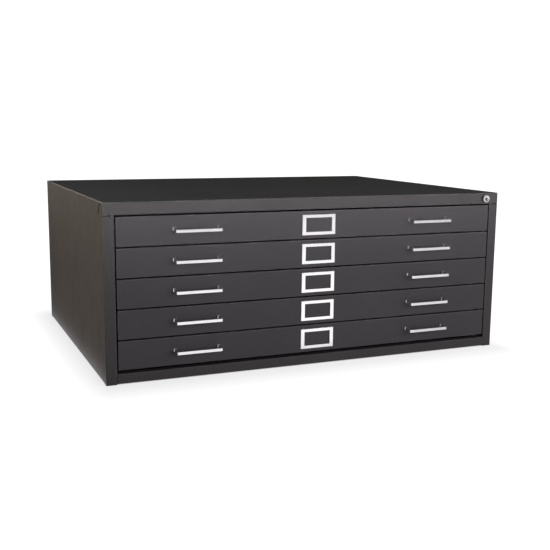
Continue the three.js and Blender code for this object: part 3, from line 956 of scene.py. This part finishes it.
def pan_head(target, place, axis):
    """Adds a pan-head screw with a cross recess, its head standing along the axis."""
    bm = bmesh.new()
    dome = [(math.sin(a) * SCREW_RADIUS, math.cos(a) * SCREW_HEIGHT) for a in HEAD_ANGLES]
    profile = [(0, 0), (SCREW_RADIUS * 0.98, 0), *dome, (0, SCREW_HEIGHT)]
    add_lathe(bm, profile, Matrix.Identity(4), 24, closed=False)
    head = object_of(bm)
    for size_x, size_y in ((RECESS_LENGTH, RECESS_WIDTH), (RECESS_WIDTH, RECESS_LENGTH)):
        cut_box(head, (0, 0, SCREW_HEIGHT), (size_x, size_y, SCREW_HEIGHT))
    made = mesh_of(head)
    made.transform(along(axis, place))
    append(target, made)


def pull_screws(n):
    """The screws that hold the pulls, seen on the inner side of the tray's front wall."""
    bm = bmesh.new()
    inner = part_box(f"drawer_{n}_tray")[0].y + DRAWER_SHEET
    for hand in ("left", "right"):
        low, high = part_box(f"drawer_{n}_{hand}_pull")
        leg_z = high.z - PULL_HEIGHT / 2
        for x in (low.x + PULL_STRAP / 2, high.x - PULL_STRAP / 2):
            pan_head(bm, (x, inner, leg_z), "y")
    return finish_piece(f"drawer_{n}_pull_screws", f"drawer_{n}", bm, ZINC)


def roller(name):
    """A moulded roller with a hub, a thin web and a rounded tread."""
    bm = bmesh.new()
    near = [(r * MM, -z * MM) for r, z in ROLLER_OUTLINE]
    far = [(r * MM, z * MM) for r, z in reversed(ROLLER_OUTLINE)]
    add_lathe(bm, near + far, along("x", centre_of(name)), 40)
    return finish_piece(f"{name}_moulded", name, bm, NYLON, [name])


def slide_rack(hand, sign):
    """Three hat-section posts on a side panel, the five channels on them, roller axles and stop tabs."""
    bm = bmesh.new()
    node = f"{hand}_slide_rack"
    low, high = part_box(node)
    t = CASE_SHEET
    panel = SIDE_X - t - WELD_GAP
    web = CHANNEL_WEB
    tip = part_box("drawer_1_tray")[1].x - WALL_INSET + CHANNEL_TIP
    posts = [FRONT_Y + POST_FRONT, (FRONT_Y + BACK_Y - POST_WIDTH) / 2, BACK_Y - POST_REAR]
    for y in posts:
        path = [
            (panel - t, y - POST_FOOT),
            (panel - t, y),
            (web + WELD_GAP, y),
            (web + WELD_GAP, y + POST_WIDTH),
            (panel - t, y + POST_WIDTH),
            (panel - t, y + POST_WIDTH + POST_FOOT),
        ]
        path = [(sign * x, y) for x, y in path]
        add_sheet(bm, strips("z", path, (low.z, high.z)), (-sign, 0, 0), t, SMALL_BEND)
    for n in DRAWERS:
        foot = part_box(f"drawer_{n}_front")[0].z
        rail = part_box(f"drawer_{n}_tray")[1].z - TRAY_LIP
        floor = foot + CHANNEL_FLOOR
        roof = rail + CHANNEL_HEADROOM + t
        path = [(sign * x, z) for x, z in ((tip, floor), (web, floor), (web, roof), (tip, roof))]
        span = (FRONT_Y + CHANNEL_SETBACK, BACK_Y - CHANNEL_REAR_GAP)
        add_sheet(bm, strips("y", path, span), (0, 0, -1), t, SMALL_BEND)
        axle = centre_of(f"case_{hand}_roller_{n}")
        inner_end = sign * (tip + AXLE_INSET)
        rod(bm, inner_end, sign * (web - t / 2), (axle.y, axle.z), AXLE)
        rod(bm, inner_end, inner_end + sign * WASHER, (axle.y, axle.z), AXLE_HEAD)
        own = centre_of(f"drawer_{n}_{hand}_roller")
        reach = ROLLER_RADIUS + STOP_CLEARANCE
        for y in (own.y - TRAVEL - reach - t, own.y + reach):
            x0, x1 = sorted((sign * (tip + STOP_INSET), sign * (web - t - STOP_GAP)))
            add_block(bm, (x0, y, floor + t / 2), (x1, y + t, floor + t + STOP_HEIGHT))
        for y in posts:
            for z in (floor + WELD_FROM_CHANNEL_EDGE, roof - WELD_FROM_CHANNEL_EDGE):
                for dy in (WELD_FROM_POST_EDGE, POST_WIDTH - WELD_FROM_POST_EDGE):
                    place = (sign * (web - t), y + dy, z)
                    add_dome(bm, place, "x", WELD_RADIUS, -sign * WELD_HEIGHT, steps=12)
    return finish_piece(f"{node}_formed", "cabinet", bm, ZINC, [node])


def lock_cylinder():
    """The lock's body: a polished face ring on a barrel that goes through the header."""
    bm = bmesh.new()
    low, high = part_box("lock_cylinder")
    middle = centre_of("lock_cylinder")
    length = (high.y - low.y) / MM
    outline = LOCK_RING + [(LOCK_BARREL, length), (LOCK_BORE, length)]
    profile = [(r * MM, y * MM) for r, y in outline]
    add_lathe(bm, profile, along("y", (middle.x, low.y, middle.z)), 48)
    return finish_piece("lock_cylinder_turned", "cabinet", bm, LOCK_CHROME, ["lock_cylinder"])


def lock_plug():
    """The key plug with its keyway, and behind it the cam with its drive pin."""
    bm = bmesh.new()
    low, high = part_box("lock_plug")
    middle = centre_of("lock_cylinder")
    face = (middle.x, low.y, middle.z)
    length = (CAM_SETBACK + FRONT_Y - low.y) / MM
    outline = PLUG_NOSE + [(PLUG_BARREL, length), (0, length)]
    add_lathe(bm, [(r * MM, y * MM) for r, y in outline], along("y", face), 48, closed=False)
    plug = object_of(bm)
    cut_box(plug, face, (KEYWAY_WIDTH, 2 * KEYWAY_DEPTH, KEYWAY_HEIGHT))
    cutter = bmesh.new()
    hole = [(0, -KEYWAY_DEPTH), (KEYHOLE, -KEYWAY_DEPTH), (KEYHOLE, KEYWAY_DEPTH), (0, KEYWAY_DEPTH)]
    add_lathe(cutter, hole, along("y", face), 20, closed=False)
    subtract(plug, object_of(cutter))
    made = mesh_of(plug)
    turn = Matrix.Translation(middle) @ Matrix.Rotation(CAM_START, 4, "Y") @ Matrix.Translation(-middle)

    def swing(point):
        return turn @ Vector(point)

    cam_y = FRONT_Y + CAM_SETBACK
    add_block(
        made,
        (middle.x - CAM_TAIL, cam_y, middle.z - CAM_HALF),
        (middle.x + CAM_REACH + CAM_RIM, cam_y + CAM_SHEET, middle.z + CAM_HALF),
        rim=CAM_CORNER,
        change=swing,
    )
    pin = swing((middle.x + CAM_REACH, cam_y, middle.z))
    pin_length = high.y - cam_y
    shape = [
        (0, 0),
        (CAM_PIN, 0),
        (CAM_PIN, pin_length - CAM_PIN_CHAMFER),
        (CAM_PIN - CAM_PIN_CHAMFER, pin_length),
        (0, pin_length),
    ]
    add_lathe(made, shape, along("y", pin), 20, closed=False)
    return finish_piece("lock_plug_turned", "lock_plug", made, PLUG_METAL, ["lock_plug"])


def lock_bar():
    """The lock bar keeps its CAD shape, with its edges eased."""
    bar = frame["nodes"]["lock_bar"]
    bar.data.materials.clear()
    bar.data.materials.append(ZINC)
    eased = bar.modifiers.new("eased_edges", "BEVEL")
    eased.width = BAR_EDGE
    eased.segments = 2
    eased.limit_method = "ANGLE"


for n in DRAWERS:
    tray(n)
    depressor(n)
    pull_screws(n)
    for hand in ("left", "right"):
        roller(f"drawer_{n}_{hand}_roller")
        roller(f"case_{hand}_roller_{n}")
for hand, sign in HANDS:
    slide_rack(hand, sign)
lock_cylinder()
lock_plug()
lock_bar()


# ---------------------------------------------------------------- studio
COOL_LIGHT = (1.0, 0.95, 1.0)
WARM_LIGHT = (1.0, 0.88, 0.7)
CREAM_LIGHT = (1.0, 0.96, 0.9)
FLOOR_HALF = 20.0


def softbox(name, azimuth, elevation, distance, size, power, colour=(1, 1, 1), spread=180, aim_z=None):
    """A soft area light that looks at the cabinet. Azimuth 0 is in front of it and 90 on its right."""
    data = bpy.data.lights.new(name, "AREA")
    data.shape = "RECTANGLE"
    data.size, data.size_y = size
    data.energy = power
    data.color = colour
    data.spread = math.radians(spread)
    lamp = bpy.data.objects.new(name, data)
    bpy.context.scene.collection.objects.link(lamp)
    a, e = math.radians(azimuth), math.radians(elevation)
    towards = Vector((math.sin(a) * math.cos(e), -math.cos(a) * math.cos(e), math.sin(e)))
    aim = Vector((0, 0, (cad_low.z + cad_high.z) / 2 if aim_z is None else aim_z))
    lamp.location = aim + towards * distance
    lamp.rotation_mode = "QUATERNION"
    lamp.rotation_quaternion = (-towards).to_track_quat("-Z", "Y")
    return lamp


def ground(name, height):
    """A wide level plane under the cabinet."""
    mesh = bpy.data.meshes.new(name)
    turns = [(-1, -1), (1, -1), (1, 1), (-1, 1)]
    corners = [(x * FLOOR_HALF, y * FLOOR_HALF, height) for x, y in turns]
    mesh.from_pydata(corners, [], [(0, 1, 2, 3)])
    made = bpy.data.objects.new(name, mesh)
    bpy.context.scene.collection.objects.link(made)
    return made


def lamps():
    """Soft boxes, given by azimuth, elevation, distance, width and height, watts, and colour."""
    front_box = softbox("front_box", 20, 10, 2.8, (2.6, 1.4), 89, COOL_LIGHT)
    header_box = softbox("header_box", 8, -4, 2.6, (3.2, 0.25), 20.5, COOL_LIGHT, spread=28, aim_z=0.78)
    front_box.visible_glossy = False
    header_box.visible_glossy = False
    softbox("left_box", -120, -8, 2.4, (2.4, 0.3), 9, WARM_LIGHT, spread=44, aim_z=0.85)
    softbox("corner_box", -66, 3, 2.6, (0.6, 0.8), 4, CREAM_LIGHT)
    softbox("edge_box", 75, 60, 2.4, (0.8, 0.5), 6)
    softbox("right_box", 100, 18, 3.0, (2.0, 1.4), 6)
    softbox("rim_box", 192, 42, 2.8, (0.9, 0.45), 2.0)
    softbox("top_box", 180, 82, 2.6, (3.0, 2.6), 28)


def sky():
    """A dim world that is white only to the camera."""
    world = bpy.data.worlds.new("studio")
    bpy.context.scene.world = world
    world.use_nodes = True
    tree = world.node_tree
    tree.nodes.clear()
    dim = add_node(tree, "Background", {"Color": (1, 1, 1, 1), "Strength": 0.035})
    white = add_node(tree, "Background", {"Color": (1, 1, 1, 1), "Strength": 1.05})
    rays = add_node(tree, "LightPath")
    sides = {0: rays.outputs["Is Camera Ray"], 1: dim.outputs[0], 2: white.outputs[0]}
    mix = add_node(tree, "MixShader", sides)
    out = tree.nodes.new("ShaderNodeOutputWorld")
    tree.links.new(mix.outputs[0], out.inputs["Surface"])


def bare_material(name):
    """A material without nodes, and its tree."""
    material = bpy.data.materials.new(name)
    material.use_nodes = True
    material.node_tree.nodes.clear()
    return material, material.node_tree


def end_tree(tree, shader):
    """Makes a shader the surface of its material."""
    out = tree.nodes.new("ShaderNodeOutputMaterial")
    tree.links.new(shader.outputs[0], out.inputs["Surface"])


def seen_floor():
    """The floor as the camera sees it: a white glow, with a painted grey shadow close round the cabinet and
    under open drawers.
    """
    floor = ground("floor", 0)
    floor.visible_diffuse = False
    floor.visible_glossy = False
    material, tree = bare_material("pale_floor")
    spot = add_node(tree, "TexCoord").outputs["Object"]
    half_size = ((cad_high.x - cad_low.x) / 2, (cad_high.y - cad_low.y) / 2, 1)
    mirrored = add_node(tree, "VectorMath", {0: spot}, operation="ABSOLUTE").outputs[0]
    beyond = add_node(tree, "VectorMath", {0: mirrored, 1: half_size}, operation="SUBTRACT").outputs[0]
    outside = add_node(tree, "VectorMath", {0: beyond, 1: (0, 0, 0)}, operation="MAXIMUM").outputs[0]
    # The painted shadow band is narrower at the sides than in front and behind.
    narrower = add_node(tree, "VectorMath", {0: outside, 1: (1.9, 1, 1)}, operation="MULTIPLY").outputs[0]
    away = add_node(tree, "VectorMath", {0: narrower}, operation="LENGTH").outputs["Value"]
    # Painted contact shadow: the glow is dimmer close round the cabinet's footprint.
    near = ranged(tree, away, 0.0, 0.12, 0.77, 0.98)
    far = ranged(tree, away, 0.4, 2.0, 0.0, 0.15)
    glow = add_node(tree, "Emission", {"Color": (1, 1, 1, 1)})
    # Where an open drawer hangs low over the floor, little of the sky is open, and the glow is dimmed there
    # as a painted shadow.
    open_sky = add_node(tree, "AmbientOcclusion", {"Distance": 0.25}).outputs["AO"]
    painted_shadow_under_drawers = ranged(tree, open_sky, 0.02, 0.42, 0.5, 1.0)
    strength = maths(tree, "MULTIPLY", maths(tree, "ADD", near, far), painted_shadow_under_drawers)
    tree.links.new(strength, glow.inputs["Strength"])
    matte = add_node(tree, "BsdfDiffuse", {"Color": (0.16, 0.16, 0.16, 1)})
    end_tree(tree, add_node(tree, "AddShader", {0: glow.outputs[0], 1: matte.outputs[0]}))
    floor.data.materials.append(material)


def mirrored_floor():
    """The floor in reflections, painted light: a glowing plane that only reflections see, dim and warm on
    the left, and a little dimmer in front and on the right.
    """
    mirror = ground("floor_in_reflections", -1 * MM)
    mirror.visible_camera = False
    mirror.visible_diffuse = False
    mirror.visible_shadow = False
    material, tree = bare_material("floor_glow")
    spot = add_node(tree, "TexCoord").outputs["Object"]
    place = add_node(tree, "SeparateXYZ", {0: spot}).outputs
    not_left = ranged(tree, place[0], -0.57, -0.53, 0.0, 1.0)
    in_front = ranged(tree, place[1], FRONT_Y - 0.25, FRONT_Y - 0.05, 1.0, 0.0)
    colour = mixed(tree, maths(tree, "MAXIMUM", not_left, in_front), (0.36, 0.31, 0.27), (1.28, 1.25, 1.28))
    clear = ranged(tree, place[1], FRONT_Y - 0.3, FRONT_Y, 1.0, 0.35)
    behind = ranged(tree, place[1], FRONT_Y, FRONT_Y + 0.01, 0.0, 1.0)
    glow = add_node(tree, "Emission", {"Color": colour})
    # The dimmer part on the right has an edge that runs outward and to the right.
    ahead = maths(tree, "SUBTRACT", FRONT_Y, place[1])
    aslant = maths(tree, "SUBTRACT", place[0], maths(tree, "MULTIPLY", ahead, 0.6))
    to_right = ranged(tree, aslant, 0.1, 0.3, 1.0, 0.74)
    strength = maths(tree, "MULTIPLY", maths(tree, "MAXIMUM", clear, behind), to_right)
    tree.links.new(strength, glow.inputs["Strength"])
    end_tree(tree, glow)
    mirror.data.materials.append(material)


def camera():
    """The view from the front left, a little above the top."""
    azimuth = math.radians(-23.08)
    elevation = math.radians(9.79)
    roll = math.radians(0.56)
    distance = 2.0904
    target = Vector((-0.1151, FRONT_Y, 0.2332))
    back = Vector(
        (
            math.sin(azimuth) * math.cos(elevation),
            -math.cos(azimuth) * math.cos(elevation),
            math.sin(elevation),
        )
    )
    data = bpy.data.cameras.new("camera")
    data.lens = 56.55
    data.sensor_width = 36
    eye = bpy.data.objects.new("camera", data)
    bpy.context.scene.collection.objects.link(eye)
    eye.location = target + back * distance
    eye.rotation_mode = "QUATERNION"
    level = (-back).to_track_quat("-Z", "Y")
    eye.rotation_quaternion = level @ Matrix.Rotation(roll, 3, "Z").to_quaternion()
    bpy.context.scene.camera = eye


lamps()
sky()
seen_floor()
mirrored_floor()
camera()
bpy.context.scene.view_settings.view_transform = "Standard"
bpy.context.scene.view_settings.look = "None"
